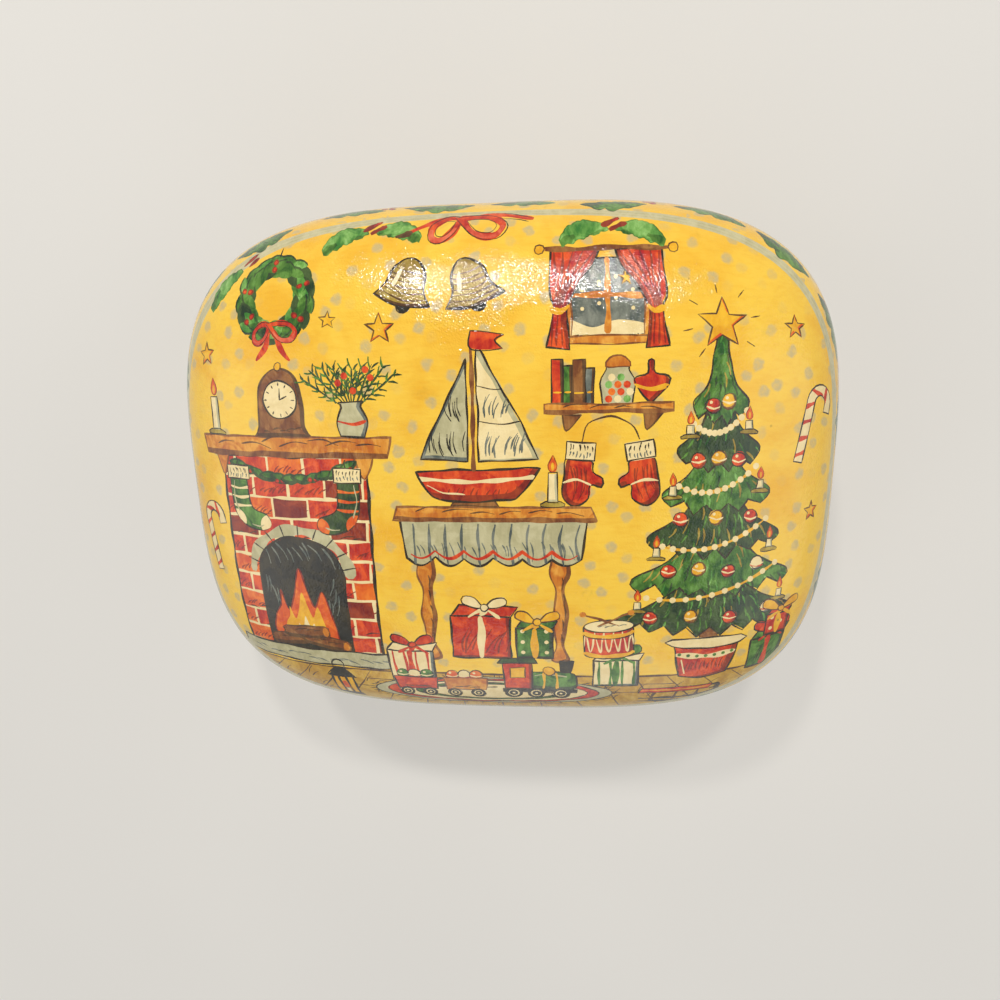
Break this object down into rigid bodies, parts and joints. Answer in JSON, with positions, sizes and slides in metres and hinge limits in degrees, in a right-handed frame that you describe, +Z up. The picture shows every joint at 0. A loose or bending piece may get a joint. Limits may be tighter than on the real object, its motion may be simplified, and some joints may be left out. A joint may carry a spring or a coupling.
{
  "type": "trinket box",
  "caption": "Rounded oblong papier mache trinket box with a lift-off domed lid that drops over a locating collar in its base tray.",
  "frame": {"origin": "middle of the flat underside that the box stands on", "axes": "+Z up through the lid's crown, +X along the length, +Y towards the back long side"},
  "size_m": [0.15, 0.1194, 0.0648],
  "materials": {
    "painted_papier_mache": "gloss",
    "black_lacquered_papier_mache": "satin"
  },
  "bodies": {
    "base": {"base_tray": "painted_papier_mache", "base_collar": "black_lacquered_papier_mache"},
    "lid": {"domed_lid": "painted_papier_mache"}
  },
  "joints": [
    {"name": "lid_lift", "type": "slide", "parent": "base", "child": "lid", "axis": [0, 0, 1], "range_m": [0, 0.09]}
  ]
}
